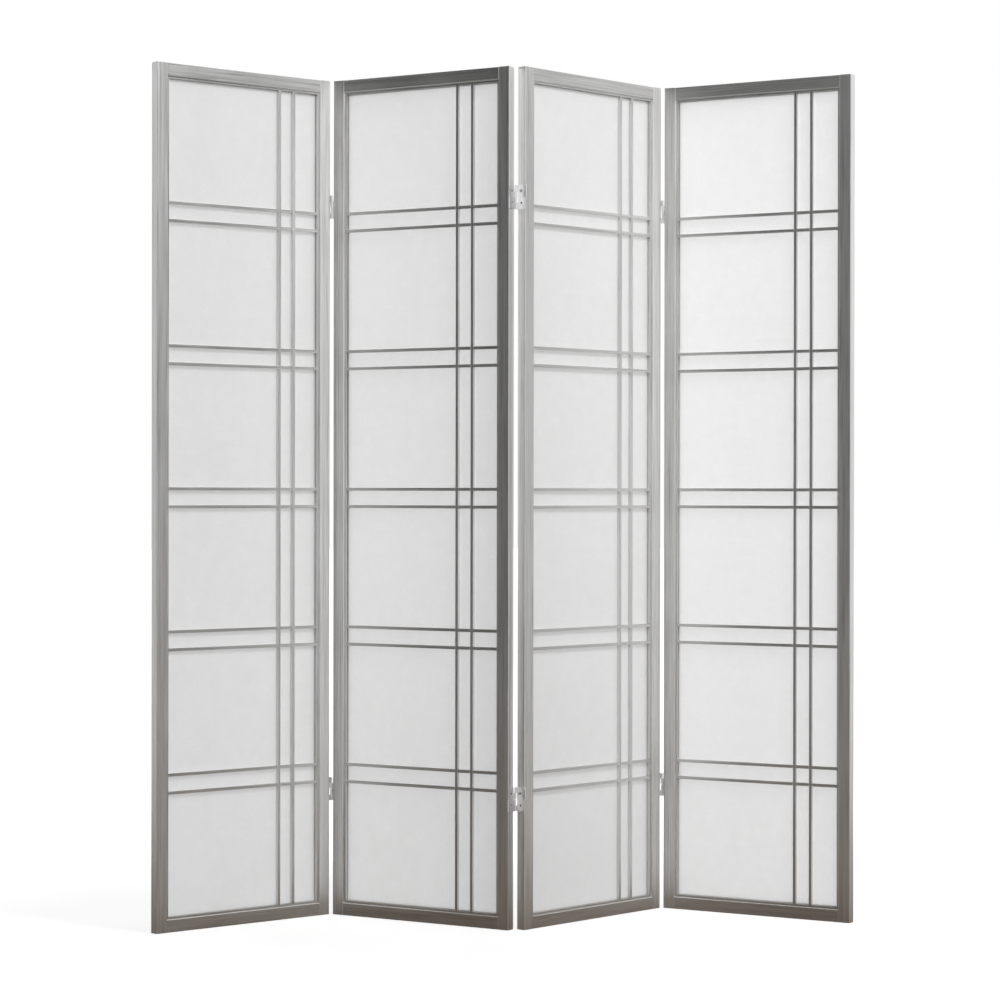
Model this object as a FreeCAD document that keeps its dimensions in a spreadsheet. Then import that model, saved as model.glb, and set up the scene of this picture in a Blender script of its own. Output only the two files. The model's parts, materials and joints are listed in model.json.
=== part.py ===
import FreeCAD, Part
import math
import os
import Sketcher

# Folding screen of four equal panels, in millimetres.
# Each panel is a mortised wooden frame with a half-lapped lattice, a sheet of rice paper behind it
# and beads that hold the paper. Neighbouring panels are joined by two-way screen hinges: a leaf on
# each stile edge and two crossed links, one pinned to the left leaf's front eye and the right leaf's
# back eye, the other the opposite way round.
# The row stands along X with its front towards -Y, and the floor is at Z = 0.

Vector = FreeCAD.Vector
Rotation = FreeCAD.Rotation
Placement = FreeCAD.Placement
UP = Vector(0, 0, 1)
HALF_TURN = Rotation(UP, 180)

DIMENSIONS = {
    # frame of one panel
    "panel_height": 1790.0,
    "panel_width": 440.0,
    "panel_thickness": 21.0,
    "stile_width": 26.5,
    "rail_height": 26.5,
    "arris": 0.8,
    # stub tenons of the rails
    "tenon_length": 15.0,
    "tenon_thickness": 7.0,
    "tenon_height": 18.5,
    "glue_room": 1.0,
    # lattice
    "lattice_setback": 4.0,
    "bar_width": 6.5,
    "bar_depth": 7.0,
    "border_width": 4.5,
    "pair_spacing": 37.0,
    "pair_count": 5,
    "right_pane": 66.0,
    # paper and the bead behind it
    "paper_thickness": 0.4,
    "paper_margin": 1.0,
    "bead_width": 6.0,
    "bead_depth": 6.0,
    # two-way hinges
    "hinge_height": 50.0,
    "hinge_inset": 270.0,
    "hinge_gap": 4.2,
    "pin_offset": 3.4,
    "leaf_thickness": 1.1,
    "leaf_margin": 1.0,
    "middle_gap": 0.6,
    "eye_clearance": 0.2,
    "eye_sides": 8,
    "pin_radius": 1.0,
    "running_clearance": 0.06,
    "access_radius": 3.0,
    # hinge screws
    "screw_radius": 1.5,
    "screw_length": 16.0,
    "screw_rise": 12.5,
    "screw_head": 1.0,
    "screw_sides": 8,
    "screw_clearance": 0.1,
    # how the screen stands: heading of the first panel, then the turn at each fold
    "first_heading": 33.5,
    "fold_one": 71.1,
    "fold_two": 78.4,
    "fold_three": 77.5,
}

# Sizes that follow from the cells, written as expressions
OPENING_WIDTH = "(Sheet.panel_width - 2 * Sheet.stile_width)"
OPENING_HEIGHT = "(Sheet.panel_height - 2 * Sheet.rail_height)"
PANE_PITCH = (
    f"(({OPENING_HEIGHT} - Sheet.border_width - Sheet.pair_count * Sheet.pair_spacing)"
    " / (Sheet.pair_count + 1))"
)
PAIR_PITCH = f"({PANE_PITCH} + Sheet.pair_spacing)"
FIRST_CROSS = f"({PANE_PITCH} + Sheet.border_width / 2)"
SECOND_UPRIGHT = f"({OPENING_WIDTH} - Sheet.right_pane)"
FIRST_UPRIGHT = f"({SECOND_UPRIGHT} - Sheet.pair_spacing)"
MID_DEPTH = "(Sheet.panel_thickness / 2)"
TENON_FRONT = "((Sheet.panel_thickness - Sheet.tenon_thickness) / 2)"
TENON_BOTTOM = "((Sheet.rail_height - Sheet.tenon_height) / 2)"
PAPER_FRONT = "(Sheet.lattice_setback + Sheet.bar_depth)"
EYE_RADIUS = "(Sheet.hinge_gap / 2)"
BACK_AXIS = "(Sheet.panel_thickness + Sheet.pin_offset)"
HALF_HINGE = "((Sheet.hinge_height - Sheet.middle_gap) / 2)"
EYE_HEIGHT = f"(({HALF_HINGE} - Sheet.eye_clearance) / 2)"
FLAT_TO_CORNER = "cos(180deg / Sheet.eye_sides)"

doc = FreeCAD.newDocument("folding_screen")
sheet = doc.addObject("Spreadsheet::Sheet", "Sheet")
for row, (alias, value) in enumerate(DIMENSIONS.items(), start=1):
    sheet.set(f"A{row}", alias)
    sheet.set(f"B{row}", str(value))
    sheet.setAlias(f"B{row}", alias)
doc.recompute()


def size(expression):
    """Number that a sheet expression comes to."""
    return float(sheet.evalExpression(expression))


# Sketches and features

def new_body(name):
    body = doc.addObject("PartDesign::Body", name)
    body.Label = name
    return body


def new_sketch(body, name, plane, offset="0"):
    """Sketch on one of the body's own origin planes, moved along the plane's normal."""
    sketch = body.newObject("Sketcher::SketchObject", name)
    support = next(f for f in body.Origin.OriginFeatures if f.Role == plane)
    sketch.AttachmentSupport = [(support, "")]
    sketch.MapMode = "FlatFace"
    sketch.setExpression("AttachmentOffset.Base.z", offset)
    return sketch


def bind(sketch, constraint, name, expression):
    index = sketch.addConstraint(constraint)
    sketch.renameConstraint(index, name)
    sketch.setExpression(f"Constraints.{name}", expression)


def bind_point(sketch, geometry, point, x, y):
    """Holds a point at the expressions x and y, whichever side of the origin they fall on."""
    for kind, axis, expression in (("DistanceX", "x", x), ("DistanceY", "y", y)):
        value = size(expression)
        name = f"{axis}_{geometry}"
        if value < 0:
            constraint = Sketcher.Constraint(kind, geometry, point, -1, 1, -value)
            bind(sketch, constraint, name, f"-({expression})")
        else:
            constraint = Sketcher.Constraint(kind, -1, 1, geometry, point, value)
            bind(sketch, constraint, name, expression)


def add_rectangle(sketch, left, bottom, width, height):
    x, y, across, up = (size(e) for e in (left, bottom, width, height))
    corners = [Vector(x, y, 0), Vector(x + across, y, 0)]
    corners += [Vector(x + across, y + up, 0), Vector(x, y + up, 0)]
    first = sketch.GeometryCount
    for i in range(4):
        sketch.addGeometry(Part.LineSegment(corners[i], corners[(i + 1) % 4]), False)
    for i in range(4):
        sketch.addConstraint(Sketcher.Constraint("Coincident", first + i, 2, first + (i + 1) % 4, 1))
        sketch.addConstraint(Sketcher.Constraint(("Horizontal", "Vertical")[i % 2], first + i))
    bind_point(sketch, first, 1, left, bottom)
    bind(sketch, Sketcher.Constraint("DistanceX", first, 1, first, 2, across), f"width_{first}", width)
    bind(sketch, Sketcher.Constraint("DistanceY", first + 1, 1, first + 1, 2, up), f"height_{first}", height)


def add_circle(sketch, x, y, radius):
    centre = Vector(size(x), size(y), 0)
    index = sketch.addGeometry(Part.Circle(centre, UP, size(radius)), False)
    bind_point(sketch, index, 3, x, y)
    bind(sketch, Sketcher.Constraint("Radius", index, size(radius)), f"radius_{index}", radius)


def add_polygon(sketch, x, y, radius, sides_cell):
    """Regular polygon in a construction circle, with one corner level with its centre."""
    sides = int(size(sides_cell))
    centre = Vector(size(x), size(y), 0)
    ring = sketch.addGeometry(Part.Circle(centre, UP, size(radius)), True)
    bind_point(sketch, ring, 3, x, y)
    bind(sketch, Sketcher.Constraint("Radius", ring, size(radius)), f"radius_{ring}", radius)
    turns = [2 * math.pi * i / sides for i in range(sides)]
    corners = [centre + Vector(math.cos(t), math.sin(t), 0) * size(radius) for t in turns]
    first = ring + 1
    for i in range(sides):
        sketch.addGeometry(Part.LineSegment(corners[i], corners[(i + 1) % sides]), False)
    for i in range(sides):
        following = first + (i + 1) % sides
        sketch.addConstraint(Sketcher.Constraint("Coincident", first + i, 2, following, 1))
        sketch.addConstraint(Sketcher.Constraint("PointOnObject", first + i, 1, ring))
    for i in range(1, sides):
        sketch.addConstraint(Sketcher.Constraint("Equal", first, first + i))
    sketch.addConstraint(Sketcher.Constraint("Horizontal", first, 1, ring, 3))


def pad(body, sketch, length, name, flare=0):
    """Adds the sketched profile along its plane's normal, widening by the flare in degrees."""
    feature = body.newObject("PartDesign::Pad", name)
    feature.Profile = sketch
    feature.TaperAngle = flare
    feature.setExpression("Length", length)
    doc.recompute()
    return feature


def cut(body, sketch, depth, name, along_normal=False, both_ways=False):
    """Pockets the sketched profile and makes sure that it removed material."""
    before = body.Shape.Volume
    feature = body.newObject("PartDesign::Pocket", name)
    feature.Profile = sketch
    feature.Reversed = along_normal
    feature.Midplane = both_ways
    feature.setExpression("Length", depth)
    doc.recompute()
    if body.Shape.Volume >= before:
        raise RuntimeError(f"{body.Label}: {name} removed nothing")
    return feature


def bevel(body, edges, cell, name):
    """Chamfer of the edges that the test picks from the body's present shape."""
    base = body.Tip
    picked = [f"Edge{i}" for i, edge in enumerate(base.Shape.Edges, start=1) if edges(edge)]
    if not picked:
        raise RuntimeError(f"{body.Label}: {name} found no edges")
    feature = body.newObject("PartDesign::Chamfer", name)
    feature.Base = (base, picked)
    feature.setExpression("Size", cell)
    doc.recompute()


def repeat_pairs(body, feature, name):
    """Repeats a feature up the panel, once for each pair of cross bars."""
    before = body.Shape.Volume
    pattern = body.newObject("PartDesign::LinearPattern", name)
    pattern.Originals = [feature]
    axis = next(f for f in body.Origin.OriginFeatures if f.Role == "Z_Axis")
    pattern.Direction = (axis, [""])
    pattern.Mode = "Spacing"
    pattern.setExpression("Offset", PAIR_PITCH)
    pattern.setExpression("Occurrences", "Sheet.pair_count")
    body.Tip = pattern
    doc.recompute()
    if body.Shape.Volume >= before:
        raise RuntimeError(f"{body.Label}: {name} removed nothing")


def has_length(expression):
    wanted = size(expression)
    return lambda edge: abs(edge.Length - wanted) < 1e-6


# Frame members: rails with stub tenons, stiles mortised for them

def make_stile(name):
    """Upright of the frame: outer edge at x = 0, mortises for the rails in the inner edge."""
    body = new_body(name)
    section = new_sketch(body, f"{name}_section", "XY_Plane")
    add_rectangle(section, "0", "0", "Sheet.stile_width", "Sheet.panel_thickness")
    pad(body, section, "Sheet.panel_height", f"{name}_length")
    bevel(body, has_length("Sheet.panel_height"), "Sheet.arris", f"{name}_arris")
    mortises = new_sketch(body, f"{name}_mortise_outline", "YZ_Plane", "Sheet.stile_width")
    for rail_bottom in ("0", "Sheet.panel_height - Sheet.rail_height"):
        bottom = f"{rail_bottom} + {TENON_BOTTOM}"
        add_rectangle(mortises, TENON_FRONT, bottom, "Sheet.tenon_thickness", "Sheet.tenon_height")
    cut(body, mortises, "Sheet.tenon_length + Sheet.glue_room", f"{name}_mortises")
    return body


def make_rail(name):
    """Cross member of the frame, with a stub tenon on each end."""
    body = new_body(name)
    section = new_sketch(body, f"{name}_section", "YZ_Plane")
    add_rectangle(section, "0", "0", "Sheet.panel_thickness", "Sheet.rail_height")
    pad(body, section, OPENING_WIDTH, f"{name}_length")
    bevel(body, has_length(OPENING_WIDTH), "Sheet.arris", f"{name}_arris")
    tenon = new_sketch(body, f"{name}_tenon_outline", "YZ_Plane", "-Sheet.tenon_length")
    add_rectangle(tenon, TENON_FRONT, TENON_BOTTOM, "Sheet.tenon_thickness", "Sheet.tenon_height")
    pad(body, tenon, f"{OPENING_WIDTH} + 2 * Sheet.tenon_length", f"{name}_tenons")
    return body


# Lattice: bars halved into each other where they cross, glued between border strips

def make_upright_bar(name):
    """Vertical lattice bar on the axis x = 0, halved from behind at every cross bar."""
    body = new_body(name)
    section = new_sketch(body, f"{name}_section", "XY_Plane")
    add_rectangle(section, "-Sheet.bar_width / 2", "0", "Sheet.bar_width", "Sheet.bar_depth")
    pad(body, section, f"{OPENING_HEIGHT} - 2 * Sheet.border_width", f"{name}_length")
    halving = new_sketch(body, f"{name}_halving", "YZ_Plane")
    for extra in ("0", "Sheet.pair_spacing"):
        bottom = f"{FIRST_CROSS} - Sheet.border_width + {extra} - Sheet.bar_width / 2"
        add_rectangle(halving, "Sheet.bar_depth / 2", bottom, "Sheet.bar_depth / 2", "Sheet.bar_width")
    notches = cut(body, halving, "2 * Sheet.bar_width", f"{name}_notches", both_ways=True)
    repeat_pairs(body, notches, f"{name}_all_notches")
    return body


def make_cross_bar(name):
    """Horizontal lattice bar on the axis z = 0, halved from the front at both uprights."""
    body = new_body(name)
    section = new_sketch(body, f"{name}_section", "YZ_Plane")
    add_rectangle(section, "0", "-Sheet.bar_width / 2", "Sheet.bar_depth", "Sheet.bar_width")
    pad(body, section, f"{OPENING_WIDTH} - 2 * Sheet.border_width", f"{name}_length")
    halving = new_sketch(body, f"{name}_halving", "XY_Plane")
    for upright in (FIRST_UPRIGHT, SECOND_UPRIGHT):
        left = f"{upright} - Sheet.border_width - Sheet.bar_width / 2"
        add_rectangle(halving, left, "0", "Sheet.bar_width", "Sheet.bar_depth / 2")
    cut(body, halving, "2 * Sheet.bar_width", f"{name}_notches", both_ways=True)
    return body


def make_block(name, length, width, height):
    """Plain strip or sheet."""
    block = doc.addObject("Part::Box", name)
    block.setExpression("Length", length)
    block.setExpression("Width", width)
    block.setExpression("Height", height)
    return block


# Two-way hinge, drawn with both panels in line: the left stile's edge is the plane x = 0.
# Its eyes and screws are polygons, since they repeat many times; only the pins are round.

def make_leaf(name):
    """Plate on a stile edge with rolled eyes: in front on its lower half, behind on its upper half."""
    body = new_body(name)
    plate_width = "(Sheet.panel_thickness - 2 * Sheet.leaf_margin)"
    outline = new_sketch(body, f"{name}_outline", "YZ_Plane")
    add_rectangle(outline, "Sheet.leaf_margin", "-Sheet.hinge_height / 2", plate_width, "Sheet.hinge_height")
    pad(body, outline, "Sheet.leaf_thickness", f"{name}_plate")
    reach = f"Sheet.pin_offset + {MID_DEPTH}"
    front_eye = ("-Sheet.pin_offset", "-Sheet.pin_offset", "-Sheet.hinge_height / 2")
    back_eye = (BACK_AXIS, MID_DEPTH, "Sheet.middle_gap / 2")
    for axis, tongue_front, bottom in (front_eye, back_eye):
        tongue = new_sketch(body, f"{name}_tongue_outline", "YZ_Plane")
        add_rectangle(tongue, tongue_front, bottom, reach, EYE_HEIGHT)
        pad(body, tongue, "Sheet.leaf_thickness", f"{name}_tongue")
        eye = new_sketch(body, f"{name}_eye_outline", "XY_Plane", bottom)
        add_polygon(eye, EYE_RADIUS, axis, EYE_RADIUS, "Sheet.eye_sides")
        pad(body, eye, EYE_HEIGHT, f"{name}_eye")
    bores = new_sketch(body, f"{name}_bore_outline", "XY_Plane")
    for axis, _, _ in (front_eye, back_eye):
        add_polygon(bores, EYE_RADIUS, axis, f"Sheet.pin_radius / {FLAT_TO_CORNER}", "Sheet.eye_sides")
    cut(body, bores, "2 * Sheet.hinge_height", f"{name}_bores", both_ways=True)
    holes = new_sketch(body, f"{name}_hole_outline", "YZ_Plane")
    hole_radius = "Sheet.screw_radius + Sheet.screw_clearance"
    for rise in ("Sheet.screw_rise", "-Sheet.screw_rise"):
        add_polygon(holes, MID_DEPTH, rise, hole_radius, "Sheet.screw_sides")
    cut(body, holes, "Sheet.leaf_thickness", f"{name}_holes", along_normal=True)

    def outer_rim(edge):
        middle = edge.CenterOfMass
        from_hole = math.hypot(middle.y - size(MID_DEPTH), abs(middle.z) - size("Sheet.screw_rise"))
        on_face = abs(middle.x - size("Sheet.leaf_thickness")) < 1e-6
        return on_face and from_hole < size(hole_radius)

    bevel(body, outer_rim, "Sheet.screw_head", f"{name}_countersink")
    return body


def make_link(name):
    """Crossing plate of half the hinge's height, with an eye at its front and one at its back."""
    body = new_body(name)
    face = f"{EYE_RADIUS} - Sheet.leaf_thickness / 2"
    plate_width = "Sheet.panel_thickness - 2 * Sheet.leaf_margin"
    outline = new_sketch(body, f"{name}_outline", "YZ_Plane", face)
    add_rectangle(outline, "Sheet.leaf_margin", "0", plate_width, HALF_HINGE)
    pad(body, outline, "Sheet.leaf_thickness", f"{name}_plate")
    eye_bottom = f"({EYE_HEIGHT} + Sheet.eye_clearance)"
    tongue = new_sketch(body, f"{name}_tongue_outline", "YZ_Plane", face)
    span = "Sheet.panel_thickness + 2 * Sheet.pin_offset"
    add_rectangle(tongue, "-Sheet.pin_offset", eye_bottom, span, EYE_HEIGHT)
    pad(body, tongue, "Sheet.leaf_thickness", f"{name}_tongue")
    eyes = new_sketch(body, f"{name}_eye_outline", "XY_Plane", eye_bottom)
    bores = new_sketch(body, f"{name}_bore_outline", "XY_Plane")
    bore_radius = f"(Sheet.pin_radius + Sheet.running_clearance) / {FLAT_TO_CORNER}"
    for axis in ("-Sheet.pin_offset", BACK_AXIS):
        add_polygon(eyes, EYE_RADIUS, axis, EYE_RADIUS, "Sheet.eye_sides")
        add_polygon(bores, EYE_RADIUS, axis, bore_radius, "Sheet.eye_sides")
    pad(body, eyes, EYE_HEIGHT, f"{name}_eyes")
    cut(body, bores, HALF_HINGE, f"{name}_bores", along_normal=True)
    access = new_sketch(body, f"{name}_access_outline", "YZ_Plane")
    add_polygon(access, MID_DEPTH, f"{HALF_HINGE} / 2", "Sheet.access_radius", "Sheet.eye_sides")
    cut(body, access, "Sheet.hinge_gap", f"{name}_access", along_normal=True)
    return body


def make_pin(name):
    """Round pin of half the hinge's height."""
    body = new_body(name)
    section = new_sketch(body, f"{name}_section", "XY_Plane")
    add_circle(section, "0", "0", "Sheet.pin_radius")
    pad(body, section, HALF_HINGE, f"{name}_length")
    return body


def make_screw(name):
    """Countersunk wood screw: the top of its head is at z = 0 and its point is below."""
    body = new_body(name)
    shank = new_sketch(body, f"{name}_shank_outline", "XY_Plane", "-Sheet.screw_length")
    add_polygon(shank, "0", "0", "Sheet.screw_radius", "Sheet.screw_sides")
    pad(body, shank, "Sheet.screw_length - Sheet.screw_head", f"{name}_shank")
    head = new_sketch(body, f"{name}_head_outline", "XY_Plane", "-Sheet.screw_head")
    add_polygon(head, "0", "0", "Sheet.screw_radius", "Sheet.screw_sides")
    pad(body, head, "Sheet.screw_head", f"{name}_head", flare=45)
    return body


# One of each kind of piece

stile = make_stile("stile")
rail = make_rail("rail")
upright_bar = make_upright_bar("upright_bar")
cross_bar = make_cross_bar("cross_bar")
side_border = make_block("side_border", "Sheet.border_width", "Sheet.bar_depth", OPENING_HEIGHT)
end_border = make_block(
    "end_border", f"{OPENING_WIDTH} - 2 * Sheet.border_width", "Sheet.bar_depth", "Sheet.border_width"
)
paper = make_block(
    "paper",
    f"{OPENING_WIDTH} - 2 * Sheet.paper_margin",
    "Sheet.paper_thickness",
    f"{OPENING_HEIGHT} - 2 * Sheet.paper_margin",
)
side_bead = make_block("side_bead", "Sheet.bead_width", "Sheet.bead_depth", OPENING_HEIGHT)
end_bead = make_block(
    "end_bead", f"{OPENING_WIDTH} - 2 * Sheet.bead_width", "Sheet.bead_depth", "Sheet.bead_width"
)
leaf = make_leaf("leaf")
link = make_link("link")
pin = make_pin("pin")
screw = make_screw("screw")
doc.recompute()

# Where the panels stand: each hangs on the pins of the one before it

PANEL_COUNT = 4
WIDTH = size("Sheet.panel_width")
HEIGHT = size("Sheet.panel_height")
THICKNESS = size("Sheet.panel_thickness")
GAP = size("Sheet.hinge_gap")
FRONT_AXIS_DEPTH = -size("Sheet.pin_offset")
BACK_AXIS_DEPTH = size(BACK_AXIS)
# each fold's turn to the next panel, and the depth of the pins that it turns on
FOLDS = [
    (-size("Sheet.fold_one"), FRONT_AXIS_DEPTH),
    (size("Sheet.fold_two"), BACK_AXIS_DEPTH),
    (-size("Sheet.fold_three"), FRONT_AXIS_DEPTH),
]


def shift(x, y, z):
    return Placement(Vector(x, y, z), Rotation())


def stand_panels():
    """Placement of every panel, with the first panel's corner at the origin."""
    placements = [Placement(Vector(), Rotation(UP, size("Sheet.first_heading")))]
    for turn, depth in FOLDS:
        to_axis = shift(WIDTH + GAP / 2, depth, 0)
        from_axis = shift(GAP / 2, -depth, 0)
        placements.append(placements[-1] * to_axis * Placement(Vector(), Rotation(UP, turn)) * from_axis)
    return placements


# Pieces of one panel, as (piece, place in the panel)

def frame_pieces():
    stile_width = size("Sheet.stile_width")
    return {
        "left_stile": [(stile, Placement())],
        "right_stile": [(stile, Placement(Vector(WIDTH, THICKNESS, 0), HALF_TURN))],
        "bottom_rail": [(rail, shift(stile_width, 0, 0))],
        "top_rail": [(rail, shift(stile_width, 0, HEIGHT - size("Sheet.rail_height")))],
    }


def infill_pieces():
    left = size("Sheet.stile_width")
    bottom = size("Sheet.rail_height")
    front = size("Sheet.lattice_setback")
    border = size("Sheet.border_width")
    right = left + size(OPENING_WIDTH)
    top = bottom + size(OPENING_HEIGHT)
    margin = size("Sheet.paper_margin")
    behind = size(PAPER_FRONT) + size("Sheet.paper_thickness")
    bead = size("Sheet.bead_width")
    uprights = [FIRST_UPRIGHT, SECOND_UPRIGHT]
    crossings = []
    for pair in range(int(size("Sheet.pair_count"))):
        for extra in (0, size("Sheet.pair_spacing")):
            crossings.append(size(FIRST_CROSS) + pair * size(PAIR_PITCH) + extra)
    return {
        "lattice_border": [
            (side_border, shift(left, front, bottom)),
            (side_border, shift(right - border, front, bottom)),
            (end_border, shift(left + border, front, bottom)),
            (end_border, shift(left + border, front, top - border)),
        ],
        "upright_bars": [(upright_bar, shift(left + size(x), front, bottom + border)) for x in uprights],
        "cross_bars": [(cross_bar, shift(left + border, front, bottom + z)) for z in crossings],
        "rice_paper": [(paper, shift(left + margin, size(PAPER_FRONT), bottom + margin))],
        "paper_beads": [
            (side_bead, shift(left, behind, bottom)),
            (side_bead, shift(right - bead, behind, bottom)),
            (end_bead, shift(left + bead, behind, bottom)),
            (end_bead, shift(left + bead, behind, top - bead)),
        ],
    }


# Pieces of the hinges on one edge of a panel, as (piece, place in the panel)

HINGE_HEIGHTS = (size("Sheet.hinge_inset"), HEIGHT - size("Sheet.hinge_inset"))
LOWER_START = -size("Sheet.hinge_height") / 2
UPPER_START = size("Sheet.middle_gap") / 2


def edge_place(edge):
    """Place of a leaf in the panel: on its right edge, or turned round on its left edge."""
    if edge == "right":
        return shift(WIDTH, 0, 0)
    return Placement(Vector(0, THICKNESS, 0), HALF_TURN)


def edge_leaves(edge):
    return [(leaf, shift(0, 0, height) * edge_place(edge)) for height in HINGE_HEIGHTS]


def edge_pins(edge):
    places = []
    for height in HINGE_HEIGHTS:
        for depth, start in ((FRONT_AXIS_DEPTH, LOWER_START), (BACK_AXIS_DEPTH, UPPER_START)):
            axis = edge_place(edge) * shift(GAP / 2, depth, height + start)
            places.append((pin, axis))
    return places


def edge_screws(edge):
    outward = Rotation(Vector(0, 1, 0), 90)
    rise = size("Sheet.screw_rise")
    places = []
    for height in HINGE_HEIGHTS:
        for step in (-rise, rise):
            seat = Placement(Vector(size("Sheet.leaf_thickness"), THICKNESS / 2, height + step), outward)
            places.append((screw, edge_place(edge) * seat))
    return places


def edge_links(edge, start):
    """Links of one half of each hinge, lying along the panel's edge."""
    across = WIDTH if edge == "right" else -GAP
    return [(link, shift(across, 0, height + start)) for height in HINGE_HEIGHTS]


def hinge_pieces(number):
    """Leaves, pins and screws of a panel, and the links that turn with it."""
    edges = [edge for edge, end in (("left", 1), ("right", PANEL_COUNT)) if number != end]
    pieces = {"hinge_pins": [], "hinge_screws": []}
    for edge in edges:
        fold = number if edge == "right" else number - 1
        turns_on_front = FOLDS[fold - 1][1] == FRONT_AXIS_DEPTH
        upper = (edge == "right") == turns_on_front
        half, start = ("upper", UPPER_START) if upper else ("lower", LOWER_START)
        pieces[f"{edge}_leaves"] = edge_leaves(edge)
        pieces[f"{edge}_{half}_links"] = edge_links(edge, start)
        pieces["hinge_pins"] += edge_pins(edge)
        pieces["hinge_screws"] += edge_screws(edge)
    return pieces


# The screen

def assemble(label, pieces, panel_place):
    """One named sub-part: its pieces in the panel, carried to where the panel stands."""
    links = []
    for index, (piece, place) in enumerate(pieces, start=1):
        copy = doc.addObject("App::Link", f"{label}_piece_{index}")
        copy.LinkedObject = piece
        copy.Placement = place
        links.append(copy)
    subpart = doc.addObject("Part::Compound", label)
    subpart.Label = label
    subpart.Links = links
    subpart.Placement = panel_place
    return subpart


def build_screen():
    panel_places = stand_panels()
    subparts = []
    for number, panel_place in enumerate(panel_places, start=1):
        groups = {**frame_pieces(), **infill_pieces(), **hinge_pieces(number)}
        for kind, pieces in groups.items():
            subparts.append(assemble(f"{kind}_{number}", pieces, panel_place))
    doc.recompute()
    return subparts, panel_places


def centre_on_floor(subparts, panel_places):
    """Moves the standing screen so that the middle of its plan is at the origin."""
    box = FreeCAD.BoundBox()
    for subpart in subparts:
        box.add(subpart.Shape.optimalBoundingBox(False))
    to_origin = shift(-box.Center.x, -box.Center.y, -box.ZMin)
    for subpart in subparts:
        subpart.Placement = to_origin * subpart.Placement
    doc.recompute()
    return [to_origin * place for place in panel_places]


def check_document(subparts):
    for item in doc.Objects:
        if "Invalid" in item.State or "Error" in item.State:
            raise RuntimeError(f"{item.Label} failed: {item.State}")
    for subpart in subparts:
        if subpart.Shape.isNull() or not subpart.Shape.isValid():
            raise RuntimeError(f"{subpart.Label} has no valid shape")


def print_axes(panel_places):
    """Fold axes in the screen's own frame."""
    for index, (turn, depth) in enumerate(FOLDS):
        axis = panel_places[index].multVec(Vector(WIDTH + GAP / 2, depth, 0))
        print(f"fold {index + 1}: axis at x {axis.x:.4f}, y {axis.y:.4f}, turned {turn:.2f} degrees")
    for index, place in enumerate(panel_places, start=1):
        along = place.Rotation.multVec(Vector(1, 0, 0))
        heading = math.degrees(math.atan2(along.y, along.x))
        print(f"panel {index}: corner at x {place.Base.x:.3f}, y {place.Base.y:.3f}, heading {heading:.3f}")


screen, places = build_screen()
places = centre_on_floor(screen, places)
check_document(screen)
print_axes(places)
os.makedirs("parts", exist_ok=True)
for subpart in screen:
    subpart.Shape.exportStep(f"parts/{subpart.Label}.step")
print(f"{len(screen)} sub-parts written")
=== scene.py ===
import json
import math

import bmesh
import bpy
from mathutils import Matrix, Vector


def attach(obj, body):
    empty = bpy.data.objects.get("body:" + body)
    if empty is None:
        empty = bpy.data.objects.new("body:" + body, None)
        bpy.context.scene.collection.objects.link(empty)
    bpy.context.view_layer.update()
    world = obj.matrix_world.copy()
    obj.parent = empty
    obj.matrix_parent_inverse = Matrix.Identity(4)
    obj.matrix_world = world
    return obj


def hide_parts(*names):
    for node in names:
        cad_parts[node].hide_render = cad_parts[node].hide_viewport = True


# Looks of the folding screen: paint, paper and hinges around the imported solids, in metres

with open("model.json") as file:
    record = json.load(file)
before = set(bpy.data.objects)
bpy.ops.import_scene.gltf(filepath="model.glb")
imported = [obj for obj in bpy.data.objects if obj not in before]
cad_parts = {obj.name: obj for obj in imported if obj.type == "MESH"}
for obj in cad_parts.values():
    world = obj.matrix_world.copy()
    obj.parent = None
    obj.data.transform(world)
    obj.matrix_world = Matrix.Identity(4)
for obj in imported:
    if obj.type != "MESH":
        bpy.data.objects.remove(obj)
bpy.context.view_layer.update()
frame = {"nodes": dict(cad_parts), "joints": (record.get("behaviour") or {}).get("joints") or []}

MM = 0.001
PANELS = (1, 2, 3, 4)

# Sizes that the solids have, in millimetres
PANEL_WIDTH = 440.0
PANEL_HEIGHT = 1790.0
THICKNESS = 21.0
MEMBER = 26.5
BORDER = 4.5
PAPER_FRONT = 11.0
PAPER_THICKNESS = 0.4
PAPER_MARGIN = 1.0
HINGE_GAP = 4.2
PIN_OFFSET = 3.4
HINGE_INSET = 270.0
HINGE_HEIGHT = 50.0
LEAF = 1.1
LEAF_MARGIN = 1.0
MIDDLE_GAP = 0.6
EYE_CLEARANCE = 0.2
PIN_RADIUS = 1.0
RUNNING_CLEARANCE = 0.06
ACCESS_RADIUS = 3.0
SCREW_RADIUS = 1.5
SCREW_HEAD = 1.0
SCREW_LENGTH = 16.0
SCREW_RISE = 12.5

# Sizes that follow from them
PAPER_WIDTH = PANEL_WIDTH - 2 * (MEMBER + PAPER_MARGIN)
PAPER_HEIGHT = PANEL_HEIGHT - 2 * (MEMBER + PAPER_MARGIN)
EYE_RADIUS = HINGE_GAP / 2
HALF_HINGE = (HINGE_HEIGHT - MIDDLE_GAP) / 2
EYE_HEIGHT = (HALF_HINGE - EYE_CLEARANCE) / 2
FRONT_AXIS = -PIN_OFFSET
BACK_AXIS = THICKNESS + PIN_OFFSET
HINGE_HEIGHTS = (HINGE_INSET, PANEL_HEIGHT - HINGE_INSET)
LOWER_START = -HINGE_HEIGHT / 2
UPPER_START = MIDDLE_GAP / 2

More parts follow.
